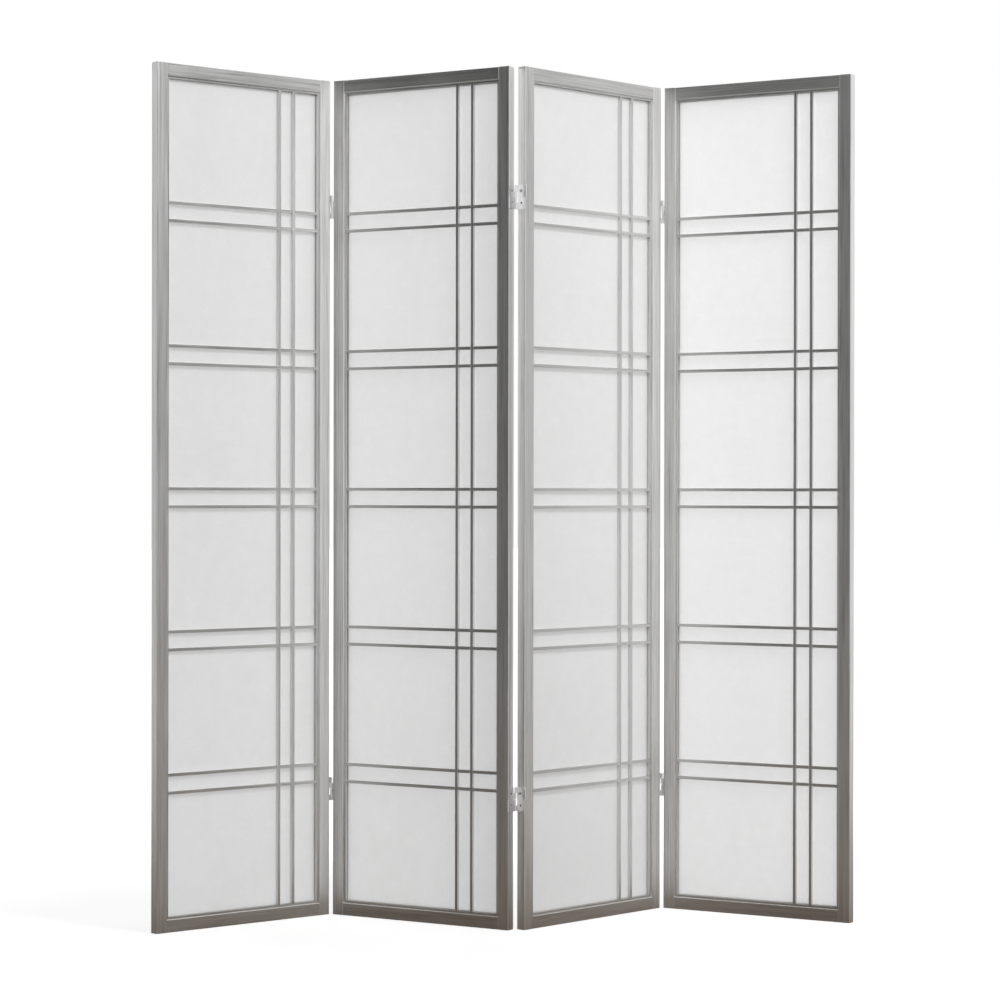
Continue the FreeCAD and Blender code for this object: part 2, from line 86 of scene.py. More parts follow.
# How the panels stand: heading of each, the fold that it hangs on, and that fold's axis in the panel
HEADINGS = {1: 33.5, 2: -37.6, 3: 40.8, 4: -36.7}
HANGS_ON = {
    1: ("fold_1", PANEL_WIDTH + HINGE_GAP / 2, FRONT_AXIS),
    2: ("fold_1", -HINGE_GAP / 2, FRONT_AXIS),
    3: ("fold_2", -HINGE_GAP / 2, BACK_AXIS),
    4: ("fold_3", -HINGE_GAP / 2, FRONT_AXIS),
}


def panel_place(number):
    """Matrix from a panel's own millimetres to the screen's metres."""
    fold, x, y = HANGS_ON[number]
    axis = next(j["pos_m"] for j in frame["joints"] if j["name"] == fold)
    turn = Matrix.Rotation(math.radians(HEADINGS[number]), 4, "Z")
    to_axis = Matrix.Translation((axis[0], axis[1], 0))
    return to_axis @ turn @ Matrix.Scale(MM, 4) @ Matrix.Translation((-x, -y, 0))


# Node materials

class Nodes:
    """Node tree of a material or world, with short ways to add and link nodes."""

    def __init__(self, owner, output="ShaderNodeOutputMaterial"):
        self.owner = owner
        owner.use_nodes = True
        self.tree = owner.node_tree
        self.tree.nodes.clear()
        self.output = self.add(output)

    def add(self, kind, **settings):
        node = self.tree.nodes.new(kind)
        for key, value in settings.items():
            setattr(node, key, value)
        return node

    def feed(self, socket, value):
        """Links an output to a socket, or sets the socket to a plain value."""
        if isinstance(value, bpy.types.NodeSocket):
            self.tree.links.new(value, socket)
        else:
            socket.default_value = value

    def turned(self, output, heading, kind):
        mapping = self.add("ShaderNodeMapping", vector_type=kind)
        self.feed(mapping.inputs["Vector"], self.add("ShaderNodeTexCoord").outputs[output])
        mapping.inputs["Rotation"].default_value = (0, 0, -math.radians(heading))
        return mapping.outputs["Vector"]

    def local(self, heading=0.0):
        """Coordinates in metres, turned so that x runs along the panel."""
        return self.turned("Object", heading, "POINT")

    def facing(self, heading):
        """The surface's own direction, turned in the same way."""
        return self.turned("Normal", heading, "VECTOR")

    def split(self, vector):
        node = self.add("ShaderNodeSeparateXYZ")
        self.feed(node.inputs["Vector"], vector)
        return list(node.outputs)

    def stretched(self, vector, scale):
        mapping = self.add("ShaderNodeMapping")
        self.feed(mapping.inputs["Vector"], vector)
        mapping.inputs["Scale"].default_value = scale
        return mapping.outputs["Vector"]

    def noise(self, vector, detail=2.0, roughness=0.5, distortion=0.0):
        node = self.add("ShaderNodeTexNoise")
        self.feed(node.inputs["Vector"], vector)
        node.inputs["Scale"].default_value = 1.0
        node.inputs["Detail"].default_value = detail
        node.inputs["Roughness"].default_value = roughness
        node.inputs["Distortion"].default_value = distortion
        return node.outputs["Fac"]

    def math(self, operation, a, b=0.0):
        node = self.add("ShaderNodeMath", operation=operation)
        self.feed(node.inputs[0], a)
        self.feed(node.inputs[1], b)
        return node.outputs["Value"]

    def weighed(self, *parts):
        """Sum of (value, weight) pairs."""
        total = 0.0
        for value, weight in parts:
            total = self.math("ADD", total, self.math("MULTIPLY", value, weight))
        return total

    def span(self, value, low, high, to_low, to_high):
        node = self.add("ShaderNodeMapRange")
        self.feed(node.inputs["Value"], value)
        for socket, number in zip(list(node.inputs)[1:5], (low, high, to_low, to_high)):
            socket.default_value = number
        return node.outputs["Result"]

    def ramp(self, value, stops):
        node = self.add("ShaderNodeValToRGB")
        self.feed(node.inputs["Fac"], value)
        elements = node.color_ramp.elements
        while len(elements) < len(stops):
            elements.new(0.5)
        for element, (position, colour) in zip(elements, stops):
            element.position = position
            element.color = (*colour, 1)
        return node.outputs["Color"]

    def mix(self, factor, a, b):
        node = self.add("ShaderNodeMix", data_type="RGBA", blend_type="MIX")
        self.feed(node.inputs[0], factor)
        self.feed(node.inputs[6], a)
        self.feed(node.inputs[7], b)
        return node.outputs[2]

    def bump(self, height, strength, distance):
        node = self.add("ShaderNodeBump")
        node.inputs["Strength"].default_value = strength
        node.inputs["Distance"].default_value = distance
        self.feed(node.inputs["Height"], height)
        return node.outputs["Normal"]

    def principled(self, **values):
        node = self.add("ShaderNodeBsdfPrincipled")
        for key, value in values.items():
            self.feed(node.inputs[key.replace("_", " ")], value)
        return node.outputs["BSDF"]

    def background_rays(self, mirrored):
        """Strength of the white background: 1 where it is seen or shines through, mirrored in gloss."""
        path = self.add("ShaderNodeLightPath").outputs
        seen = self.math("MAXIMUM", path["Is Camera Ray"], path["Is Transmission Ray"])
        return self.math("MAXIMUM", seen, self.math("MULTIPLY", path["Is Glossy Ray"], mirrored))

    def finish(self, shader):
        self.feed(self.output.inputs["Surface"], shader)
        return self.owner


def new_material(name):
    return Nodes(bpy.data.materials.new(name))


# Silver paint

# tones from the dark to the bright brush marks; the stiles have a brighter copy of the same paint, which is
# painted light
SILVER = (
    (0.36, (0.462, 0.459, 0.448)),
    (0.47, (0.677, 0.675, 0.669)),
    (0.56, (0.756, 0.755, 0.751)),
    (0.68, (0.861, 0.861, 0.859)),
)
PAINTED_LIGHT_SILVER = (
    (0.36, (0.528, 0.524, 0.512)),
    (0.47, (0.774, 0.772, 0.764)),
    (0.56, (0.864, 0.863, 0.858)),
    (0.68, (0.950, 0.950, 0.948)),
)
# brush marks: how many per metre across and along the member, and their detail
FINE_MARKS = (1500.0, 14.0, 3.0)
MIDDLE_MARKS = (420.0, 5.0, 3.0)
BROAD_MARKS = (90.0, 1.6, 2.0)
MARK_ROUGHNESS = 0.6
MARK_DEPTH = 0.00025
# thinly covered clouds: how many per metre, their tone beside the paint's, and the most that they show
CLOUDS = (14.0, 14.0, 6.0)
CLOUD_TONE = 0.885
CLOUD_SHARE = 0.35
# painted reflection of the dark floor: the paint turns warm and dark towards the foot; its tone, the height
# it reaches, and the most that it shows
PAINTED_FLOOR_REFLECTION_TONE = (0.40, 0.350, 0.285, 1)
PAINTED_FLOOR_REFLECTION_HEIGHT = 0.12
PAINTED_FLOOR_REFLECTION_SHARE = 0.3
# painted highlight on the arrises: its bright tone, and how much less rough the arrises are
EDGE_HIGHLIGHT_TONE = (0.86, 0.852, 0.84, 1)
EDGE_HIGHLIGHT_GLOSS = 0.08
PAINT_METAL = 0.92
# the border's strips along the rails lie within this distance of a panel's ends
RAIL_ZONE = (MEMBER + BORDER + 2.0) * MM


def silver_paint(name, heading, grain, tones):
    """Metallic silver paint brushed along a member: grain is "up", "along" or "around" the opening."""
    n = new_material(name)
    place = n.local(heading)
    height = n.split(place)[2]
    middle_height = PANEL_HEIGHT * MM / 2
    from_middle = n.math("ABSOLUTE", n.math("SUBTRACT", height, middle_height))
    at_rail = n.math("GREATER_THAN", from_middle, middle_height - RAIL_ZONE)

    def marks(across, along, detail):
        up = n.stretched(place, (across, across, along))
        level = n.stretched(place, (along, across, across))
        run = {"up": up, "along": level, "around": n.mix(at_rail, up, level)}
        return n.noise(run[grain], detail, MARK_ROUGHNESS)

    fine = marks(*FINE_MARKS)
    middle = marks(*MIDDLE_MARKS)
    broad = marks(*BROAD_MARKS)
    cloud = n.noise(n.stretched(place, CLOUDS), 3.0, 0.55)
    colour = n.ramp(n.weighed((fine, 0.25), (middle, 0.5), (broad, 0.25)), tones)
    clouded = [CLOUD_TONE * c for c in tones[2][1]]
    colour = n.mix(n.span(cloud, 0.45, 0.75, 0.0, CLOUD_SHARE), colour, (*clouded, 1))
    # painted reflection of the floor: warmer and darker towards the foot
    low = n.span(height, 0.0, PAINTED_FLOOR_REFLECTION_HEIGHT, 1.0, 0.0)
    colour = n.mix(n.math("MULTIPLY", n.math("MULTIPLY", low, low), PAINTED_FLOOR_REFLECTION_SHARE), colour, PAINTED_FLOOR_REFLECTION_TONE)
    # slanting faces are the arrises
    x, y, z = (n.math("ABSOLUTE", part) for part in n.split(n.facing(heading)))
    front_slant = n.math("MULTIPLY", y, n.math("MAXIMUM", x, z))
    slant = n.span(n.math("MAXIMUM", front_slant, n.math("MULTIPLY", x, z)), 0.2, 0.45, 0.0, 1.0)
    # painted highlight: the arrises get a bright tone, broken up by the brush marks
    painted_edge_highlight = n.math("MULTIPLY", slant, n.span(middle, 0.35, 0.6, 0.45, 1.0))
    colour = n.mix(painted_edge_highlight, colour, EDGE_HIGHLIGHT_TONE)
    rough = n.span(n.weighed((middle, 0.7), (cloud, 0.3)), 0.3, 0.7, 0.34, 0.46)
    rough = n.math("SUBTRACT", rough, n.math("MULTIPLY", painted_edge_highlight, EDGE_HIGHLIGHT_GLOSS))
    normal = n.bump(n.weighed((fine, 1.0), (middle, 0.6)), 0.22, MARK_DEPTH)
    return n.finish(n.principled(Base_Color=colour, Metallic=PAINT_METAL, Roughness=rough, Normal=normal))


# Rice paper

PULP_TONES = (
    (0.30, (0.862, 0.862, 0.859)),
    (0.52, (0.882, 0.882, 0.881)),
    (0.75, (0.900, 0.900, 0.900)),
)
# pulp and wide clouds in it, per metre
PULP = (38.0, 38.0, 38.0)
PULP_CLOUDS = (7.0, 7.0, 4.0)
# fibres that run upright and level, per metre, with their width and the most that they show
LONG_FIBRES = ((210.0, 210.0, 30.0), (34.0, 210.0, 190.0))
LONG_FIBRE_WIDTH = 0.02
LONG_FIBRE_SHARE = 0.75
LONG_FIBRE_TONE = (0.965, 0.965, 0.965, 1)
SHORT_FIBRES = ((620.0, 620.0, 130.0), (140.0, 620.0, 560.0))
SHORT_FIBRE_WIDTH = 0.03
SHORT_FIBRE_SHARE = 0.45
SHORT_FIBRE_TONE = (0.835, 0.833, 0.826, 1)
PAPER_RELIEF = 0.0002
# share of the light that goes through
TRANSLUCENCY = 0.5


def rice_paper(name, heading):
    """White paper with fine fibres, which lets light through."""
    n = new_material(name)
    place = n.local(heading)
    pulp = n.noise(n.stretched(place, PULP), 5.0, 0.62)
    wide = n.noise(n.stretched(place, PULP_CLOUDS), 2.0, 0.5)

    def fibres(scale, width):
        wander = n.noise(n.stretched(place, scale), 2.0, 0.5, 1.6)
        off_line = n.math("ABSOLUTE", n.math("SUBTRACT", wander, 0.5))
        return n.span(off_line, 0.0, width, 1.0, 0.0)

    long = n.math("MAXIMUM", *(fibres(scale, LONG_FIBRE_WIDTH) for scale in LONG_FIBRES))
    short = n.math("MAXIMUM", *(fibres(scale, SHORT_FIBRE_WIDTH) for scale in SHORT_FIBRES))
    patchy = n.span(pulp, 0.42, 0.62, 0.15, 1.0)
    colour = n.ramp(n.weighed((pulp, 0.6), (wide, 0.4)), PULP_TONES)
    short_share = n.math("MULTIPLY", short, n.math("MULTIPLY", patchy, SHORT_FIBRE_SHARE))
    long_share = n.math("MULTIPLY", long, n.math("MULTIPLY", patchy, LONG_FIBRE_SHARE))
    colour = n.mix(short_share, colour, SHORT_FIBRE_TONE)
    colour = n.mix(long_share, colour, LONG_FIBRE_TONE)
    rough = n.span(pulp, 0.3, 0.7, 0.74, 0.88)
    normal = n.bump(n.weighed((pulp, 0.3), (long, 0.2), (short, 0.2)), 0.25, PAPER_RELIEF)
    front = n.principled(Base_Color=colour, Roughness=rough, Normal=normal, Specular_IOR_Level=0.2)
    through = n.add("ShaderNodeBsdfTranslucent")
    n.feed(through.inputs["Color"], colour)
    both = n.add("ShaderNodeMixShader")
    both.inputs["Fac"].default_value = TRANSLUCENCY
    n.feed(both.inputs[1], front)
    n.feed(both.inputs[2], through.outputs["BSDF"])
    return n.finish(both.outputs["Shader"])


# Metal of the hinges

PLATING_TONE = (0.94, 0.94, 0.945)
PLATING_ROUGHNESS = 0.3
SCREW_TONE = (0.34, 0.34, 0.345)
SCREW_ROUGHNESS = 0.36
# how much rougher the dull spots are
DULLING = 0.16
# the darkest and brightest metal beside the tone, and a limit for the brightest
DARKER = 0.92
BRIGHTER = 1.06
BRIGHTEST = 0.96
# drawing marks, dull spots, and the speckle of the painted shade in the screw recesses, per metre
DRAWN_MARKS = (2600.0, 2600.0, 160.0)
DRAWN_DEPTH = 0.00008
DULL_SPOTS = (240.0, 240.0, 240.0)
RECESS_SHADE_SPECKLE = (900.0, 900.0, 900.0)
# near-black tones of the painted shade in the screw recesses
RECESS_SHADE_TONES = (
    (0.35, (0.035, 0.034, 0.032)),
    (0.65, (0.085, 0.083, 0.08)),
)


def plated_steel(name, tone, smooth):
    """Bright plating with fine drawing marks and a few dull spots; smooth is its least roughness."""
    n = new_material(name)
    place = n.local()
    drawn = n.noise(n.stretched(place, DRAWN_MARKS), 3.0, 0.6)
    dull = n.noise(n.stretched(place, DULL_SPOTS), 4.0, 0.6)
    dark = [DARKER * c for c in tone]
    bright = [min(BRIGHTER * c, BRIGHTEST) for c in tone]
    colour = n.ramp(n.weighed((drawn, 0.5), (dull, 0.5)), ((0.32, dark), (0.56, tone), (0.8, bright)))
    rough = n.span(dull, 0.35, 0.75, smooth, smooth + DULLING)
    normal = n.bump(drawn, 0.12, DRAWN_DEPTH)
    return n.finish(n.principled(Base_Color=colour, Metallic=1.0, Roughness=rough, Normal=normal))


def dark_recess(name):
    """Painted shade in the bottom of a screw's cross recess: near black and speckled."""
    n = new_material(name)
    shade_speckle = n.noise(n.stretched(n.local(), RECESS_SHADE_SPECKLE), 3.0, 0.6)
    colour = n.ramp(shade_speckle, RECESS_SHADE_TONES)
    rough = n.span(shade_speckle, 0.3, 0.7, 0.45, 0.7)
    return n.finish(n.principled(Base_Color=colour, Metallic=0.6, Roughness=rough))


# Frame and lattice: the solids as they are, with paint along each member and softened edges

PAINTS = {
    # painted light: the stiles take the brighter copy of the silver
    "stile": ("up", PAINTED_LIGHT_SILVER),
    "upright": ("up", SILVER),
    "level": ("along", SILVER),
    "around": ("around", SILVER),
}
PAINTED = {
    "left_stile": "stile",
    "right_stile": "stile",
    "upright_bars": "upright",
    "bottom_rail": "level",
    "top_rail": "level",
    "cross_bars": "level",
    "lattice_border": "around",
    "paper_beads": "around",
}
SOFT_EDGE = 0.0003
SOFT_EDGE_STEPS = 2
SOFT_EDGE_ANGLE = 30
WELD_DISTANCE = 1e-6


def soften(node):
    """Rounds a node's edges, as sanded wood under paint; those of strips that butt stay nearly sharp."""
    weld = node.modifiers.new("weld", "WELD")
    weld.merge_threshold = WELD_DISTANCE
    bevel = node.modifiers.new("soft_edges", "BEVEL")
    bevel.width = SOFT_EDGE
    bevel.segments = SOFT_EDGE_STEPS
    bevel.limit_method = "ANGLE"
    bevel.angle_limit = math.radians(SOFT_EDGE_ANGLE)
    bevel.harden_normals = True


def paint_panel(number):
    paints = {
        paint: silver_paint(f"silver_{paint}_{number}", HEADINGS[number], grain, tones)
        for paint, (grain, tones) in PAINTS.items()
    }
    for kind, paint in PAINTED.items():
        node = frame["nodes"][f"{kind}_{number}"]
        node.data.materials.clear()
        node.data.materials.append(paints[paint])
        soften(node)


for number in PANELS:
    paint_panel(number)


# Meshes built point by point, in a panel's millimetres

SHARP_ANGLE = 32
CORNER_STEPS = 5


def to_object(bm, name, matrix, *materials):
    bmesh.ops.recalc_face_normals(bm, faces=bm.faces)
    mesh = bpy.data.meshes.new(name)
    bm.to_mesh(mesh)
    bm.free()
    mesh.transform(matrix)
    mesh.shade_smooth()
    mesh.set_sharp_from_angle(angle=math.radians(SHARP_ANGLE))
    for material in materials:
        mesh.materials.append(material)
    piece = bpy.data.objects.new(name, mesh)
    bpy.context.collection.objects.link(piece)
    return piece


def at(x, y, z):
    return Matrix.Translation((x, y, z))


def circle(y, z, radius, count):
    turns = [2 * math.pi * i / count for i in range(count)]
    return [(y + radius * math.cos(t), z + radius * math.sin(t)) for t in turns]


def rounded(corners):
    """Outline through corners given as (y, z, radius)."""
    points = []
    count = len(corners)
    for i, (y, z, radius) in enumerate(corners):
        here = Vector((y, z))
        if radius == 0:
            points.append((y, z))
            continue
        before = (Vector(corners[i - 1][:2]) - here).normalized()
        after = (Vector(corners[(i + 1) % count][:2]) - here).normalized()
        start = here + before * radius
        end = here + after * radius
        for step in range(CORNER_STEPS + 1):
            t = step / CORNER_STEPS
            point = start * (1 - t) ** 2 + here * (2 * t * (1 - t)) + end * t ** 2
            points.append((point.x, point.y))
    return points


def add_loop(bm, place, points, x):
    """Points of an outline in the plane at x."""
    return [bm.verts.new(place @ Vector((x, y, z))) for y, z in points]


def add_edges(bm, ring):
    return [bm.edges.new((ring[i - 1], ring[i])) for i in range(len(ring))]


def add_band(bm, first, second):
    """Faces between two loops with as many points."""
    return [bm.faces.new((first[i - 1], first[i], second[i], second[i - 1])) for i in range(len(first))]


def fill(bm, edges):
    bmesh.ops.triangle_fill(bm, use_beauty=True, use_dissolve=False, edges=edges)


def add_plate(bm, place, outline, holes, near, far):
    """Plate between x = near and x = far; a hole is its outline at the near and at the far face."""
    loops = [(add_loop(bm, place, outline, near), add_loop(bm, place, outline, far))]
    loops += [(add_loop(bm, place, a, near), add_loop(bm, place, b, far)) for a, b in holes]
    for side in (0, 1):
        edges = []
        for pair in loops:
            edges += add_edges(bm, pair[side])
        fill(bm, edges)
    for first, second in loops:
        add_band(bm, first, second)


def add_turned(bm, place, profile, count, closed=False):
    """Turned form round z from (radius, height) pairs; closed joins the last pair to the first."""
    rings = []
    for radius, height in profile:
        if radius == 0:
            rings.append([bm.verts.new(place @ Vector((0, 0, height)))])
            continue
        ring = circle(0, 0, radius, count)
        rings.append([bm.verts.new(place @ Vector((x, y, height))) for x, y in ring])
    pairs = list(zip(rings, rings[1:]))
    if closed:
        pairs.append((rings[-1], rings[0]))
    for low, high in pairs:
        for i in range(count):
            if len(low) == 1:
                corners = (low[0], high[i], high[i - 1])
            elif len(high) == 1:
                corners = (low[i - 1], low[i], high[0])
            else:
                corners = (low[i - 1], low[i], high[i], high[i - 1])
            bm.faces.new(corners)


# Hinges: finely rounded pieces in place of the many-sided solids

# details of these pieces, in millimetres, and the sides of their round forms
EYE_INSET = 0.12
EYE_LIP = 0.25
PLATE_CORNER = 1.8
EYE_CORNER = 0.5
LEAF_BACK = 0.02
PIN_END = 0.35
PIN_SHOULDER = 0.1
PIN_SHOULDER_HEIGHT = 0.12
SCREW_PLAY = 0.1
SCREW_INSET = 0.12
SCREW_RIM = SCREW_RADIUS + SCREW_HEAD - SCREW_INSET
SCREW_TAPER = 4.0
SCREW_POINT = 0.15
RECESS_ARM = 1.45
RECESS_HALF = 0.32
RECESS_DEPTH = 0.75
RECESS_TAPER = 0.72
ROUND_SIDES = 28
PIN_SIDES = 24
ACCESS_SIDES = 32
# rise and turn of the lower and the upper screw, and how much the turn differs from panel to panel
SCREW_TURNS = ((-SCREW_RISE, 0.3), (SCREW_RISE, 1.1))
TURN_PER_PANEL = 0.7

# the half of its hinges whose links turn with a panel's left or right edge
LINKS = {
    "right_upper_links_1": (1, "right", "upper"),
    "left_lower_links_2": (2, "left", "lower"),
    "right_lower_links_2": (2, "right", "lower"),
    "left_upper_links_3": (3, "left", "upper"),
    "right_upper_links_3": (3, "right", "upper"),
    "left_lower_links_4": (4, "left", "lower"),
}


def add_eye(bm, place, depth, bottom, bore):
    """Rolled eye on an axis at the given depth."""
    outside = EYE_RADIUS - EYE_INSET
    top = bottom + EYE_HEIGHT
    profile = [
        (bore, bottom),
        (outside - EYE_LIP, bottom),
        (outside, bottom + EYE_LIP),
        (outside, top - EYE_LIP),
        (outside - EYE_LIP, top),
        (bore, top),
    ]
    add_turned(bm, place @ at(EYE_RADIUS, depth, 0), profile, ROUND_SIDES, closed=True)


def add_leaf(bm, place):
    """Plate on a stile edge, with an eye in front below and one behind above."""
    low = LOWER_START
    lower_eye_top = low + EYE_HEIGHT
    upper_eye = UPPER_START
    upper_eye_top = upper_eye + EYE_HEIGHT
    front = LEAF_MARGIN
    back = THICKNESS - LEAF_MARGIN
    outline = rounded([
        (FRONT_AXIS, low, 0),
        (back, low, PLATE_CORNER),
        (back, upper_eye, EYE_CORNER),
        (BACK_AXIS, upper_eye, 0),
        (BACK_AXIS, upper_eye_top, 0),
        (back, upper_eye_top, EYE_CORNER),
        (back, -low, PLATE_CORNER),
        (front, -low, PLATE_CORNER),
        (front, lower_eye_top, EYE_CORNER),
        (FRONT_AXIS, lower_eye_top, 0),
    ])
    hole = SCREW_RADIUS + SCREW_PLAY
    holes = []
    for rise in (-SCREW_RISE, SCREW_RISE):
        near = circle(THICKNESS / 2, rise, hole, ROUND_SIDES)
        far = circle(THICKNESS / 2, rise, hole + SCREW_HEAD, ROUND_SIDES)
        holes.append((near, far))
    add_plate(bm, place, outline, holes, LEAF_BACK, LEAF)
    add_eye(bm, place, FRONT_AXIS, low, PIN_RADIUS)
    add_eye(bm, place, BACK_AXIS, upper_eye, PIN_RADIUS)


def add_link(bm, place):
    """Crossing plate of half a hinge, with an eye at either end of its upper part."""
    front = LEAF_MARGIN
    back = THICKNESS - LEAF_MARGIN
    eye = EYE_HEIGHT + EYE_CLEARANCE
    bore = PIN_RADIUS + RUNNING_CLEARANCE
    # the plate ends inside the walls of its eyes, clear of the pins
    inside_wall = (bore + EYE_RADIUS) / 2
    front_end = FRONT_AXIS + inside_wall
    back_end = BACK_AXIS - inside_wall
    outline = rounded([
        (front, 0, PLATE_CORNER),
        (back, 0, PLATE_CORNER),
        (back, eye, EYE_CORNER),
        (back_end, eye, 0),
        (back_end, HALF_HINGE, 0),
        (front_end, HALF_HINGE, 0),
        (front_end, eye, 0),
        (front, eye, EYE_CORNER),
    ])
    hole = circle(THICKNESS / 2, HALF_HINGE / 2, ACCESS_RADIUS, ACCESS_SIDES)
    face = EYE_RADIUS - LEAF / 2
    add_plate(bm, place, outline, [(hole, hole)], face, face + LEAF)
    for depth in (FRONT_AXIS, BACK_AXIS):
        add_eye(bm, place, depth, eye, bore)


def add_pin(bm, place):
    """Pin with rounded ends."""
    shoulder = PIN_RADIUS - PIN_SHOULDER
    profile = [
        (0, 0),
        (PIN_RADIUS - PIN_END, 0),
        (shoulder, PIN_SHOULDER_HEIGHT),
        (PIN_RADIUS, PIN_END),
        (PIN_RADIUS, HALF_HINGE - PIN_END),
        (shoulder, HALF_HINGE - PIN_SHOULDER_HEIGHT),
        (PIN_RADIUS - PIN_END, HALF_HINGE),
        (0, HALF_HINGE),
    ]
    add_turned(bm, place, profile, PIN_SIDES)


def add_screw(bm, place):
    """Countersunk screw along x with a cross recess; its head's face is at x = 0."""
    arm, half = RECESS_ARM, RECESS_HALF
    quarter = [(arm, -half), (arm, half), (half, half)]
    cross = []
    for _ in range(4):
        cross += quarter
        quarter = [(-z, y) for y, z in quarter]
    floor = [(RECESS_TAPER * y, RECESS_TAPER * z) for y, z in cross]
    outer = add_loop(bm, place, circle(0, 0, SCREW_RIM, ROUND_SIDES), 0)
    inner = add_loop(bm, place, cross, 0)
    bottom = add_loop(bm, place, floor, -RECESS_DEPTH)
    fill(bm, add_edges(bm, outer) + add_edges(bm, inner))
    # the recess's floor and walls take the painted shade
    dark = [bm.faces.new(bottom), *add_band(bm, inner, bottom)]
    for face in dark:
        face.material_index = 1
    rings = [outer]
    shank_end = SCREW_TAPER - SCREW_LENGTH
    for radius, x in ((SCREW_RADIUS, -SCREW_HEAD), (SCREW_RADIUS, shank_end), (SCREW_POINT, -SCREW_LENGTH)):
        rings.append(add_loop(bm, place, circle(0, 0, radius, ROUND_SIDES), x))
    for near, far in zip(rings, rings[1:]):
        add_band(bm, near, far)
    bm.faces.new(rings[-1])


def edge_place(edge):
    """Place of a leaf in its panel: on the right edge, or turned round on the left edge."""
    if edge == "right":
        return at(PANEL_WIDTH, 0, 0)
    return at(0, THICKNESS, 0) @ Matrix.Rotation(math.pi, 4, "Z")


def hang(bm, node, number, slot, *materials):
    """Makes the piece that stands for a hinge node."""
    piece = to_object(bm, f"fine_{node}", panel_place(number), *materials)
    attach(piece, f"panel_{number}")
    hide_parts(node)


plating = plated_steel("plated_steel", PLATING_TONE, PLATING_ROUGHNESS)
screw_steel = plated_steel("screw_steel", SCREW_TONE, SCREW_ROUGHNESS)
recess = dark_recess("screw_recess")

# the first panel's left edge and the last panel's right edge have no hinges
FREE_EDGES = ((PANELS[0], "left"), (PANELS[-1], "right"))

for number in PANELS:
    pins = bmesh.new()
    screws = bmesh.new()
    for edge in ("left", "right"):
        if (number, edge) in FREE_EDGES:
            continue
        leaves = bmesh.new()
        for height in HINGE_HEIGHTS:
            place = at(0, 0, height) @ edge_place(edge)
            add_leaf(leaves, place)
            add_pin(pins, place @ at(EYE_RADIUS, FRONT_AXIS, LOWER_START))
            add_pin(pins, place @ at(EYE_RADIUS, BACK_AXIS, UPPER_START))
            for rise, turn in SCREW_TURNS:
                twist = Matrix.Rotation(turn + TURN_PER_PANEL * number + height, 4, "X")
                add_screw(screws, place @ at(LEAF, THICKNESS / 2, rise) @ twist)
        hang(leaves, f"{edge}_leaves_{number}", number, "plated_steel", plating)
    hang(pins, f"hinge_pins_{number}", number, "plated_steel", plating)
    hang(screws, f"hinge_screws_{number}", number, "screw_steel", screw_steel, recess)

for node, (number, edge, half) in LINKS.items():
    links = bmesh.new()
    across = PANEL_WIDTH if edge == "right" else -HINGE_GAP
    start = UPPER_START if half == "upper" else LOWER_START
    for height in HINGE_HEIGHTS:
        add_link(links, at(across, 0, height + start))
    hang(links, node, number, "plated_steel", plating)


# Paper: one stretched sheet per panel, slack between the bars

COLUMNS = 48
ROWS = 220
# the most that a sheet stands back, in millimetres, its mean share, and the share that a wave adds
SLACK = 0.9
MEAN_SHARE = 0.5
WAVE_SHARE = 0.22
# parts of the sheet's width and height over which the slack builds up from each edge
EDGE_ACROSS = 0.08
EDGE_UP = 0.02
# waves in a sheet: size, radians across, radians up, and shift from panel to panel
WAVES = (
    (1.0, 5.1, 9.7, 1.9),
    (0.7, 9.3, -23.0, 1.0),
    (0.5, 2.2, 41.0, 3.1),
)


def slack(across, up, number):
    """How far the paper stands back from the lattice, in millimetres: nothing at its edges."""
    side = min(across, 1 - across, EDGE_ACROSS) / EDGE_ACROSS
    end = min(up, 1 - up, EDGE_UP) / EDGE_UP
    wave = sum(size * math.sin(a * across + u * up + shift * number) for size, a, u, shift in WAVES)
    return SLACK * side * end * (MEAN_SHARE + WAVE_SHARE * wave)


def make_paper(number):
    start = MEMBER + PAPER_MARGIN
    depth = PAPER_FRONT + PAPER_THICKNESS / 2
    bm = bmesh.new()
    grid = []
    for row in range(ROWS + 1):
        up = row / ROWS
        line = []
        for column in range(COLUMNS + 1):
            across = column / COLUMNS
            back = depth + slack(across, up, number)
            line.append(bm.verts.new((start + PAPER_WIDTH * across, back, start + PAPER_HEIGHT * up)))
        grid.append(line)
    for low, high in zip(grid, grid[1:]):
        for i in range(COLUMNS):
            bm.faces.new((low[i], low[i + 1], high[i + 1], high[i]))
    material = rice_paper(f"rice_paper_{number}", HEADINGS[number])
    paper = to_object(bm, f"paper_sheet_{number}", panel_place(number), material)
    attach(paper, f"panel_{number}")
    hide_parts(f"rice_paper_{number}")


for number in PANELS:
    make_paper(number)


# Floor, white background, cards and lamps

FLOOR_SIZE = 80
FLOOR_DROP = 0.0003
FLOOR_TONES = (
    (0.3, (0.43, 0.43, 0.43)),
    (0.7, (0.47, 0.47, 0.47)),
)
# the floor's own white grows from the first distance and strength to the second, away from the screen
FEET_DISTANCE, FEET_WHITE = 0.5, 0.66
FAR_DISTANCE, FAR_WHITE = 2.4, 0.92
# share of that white in gloss
FLOOR_IN_GLOSS = 0.45
AMBIENT = 0.55
# felt of the cards: fluff per metre, and its darkest and brightest tone beside the colour
FELT = (400.0, 400.0, 400.0)
FELT_DARK = 0.8
FELT_BRIGHT = 1.2


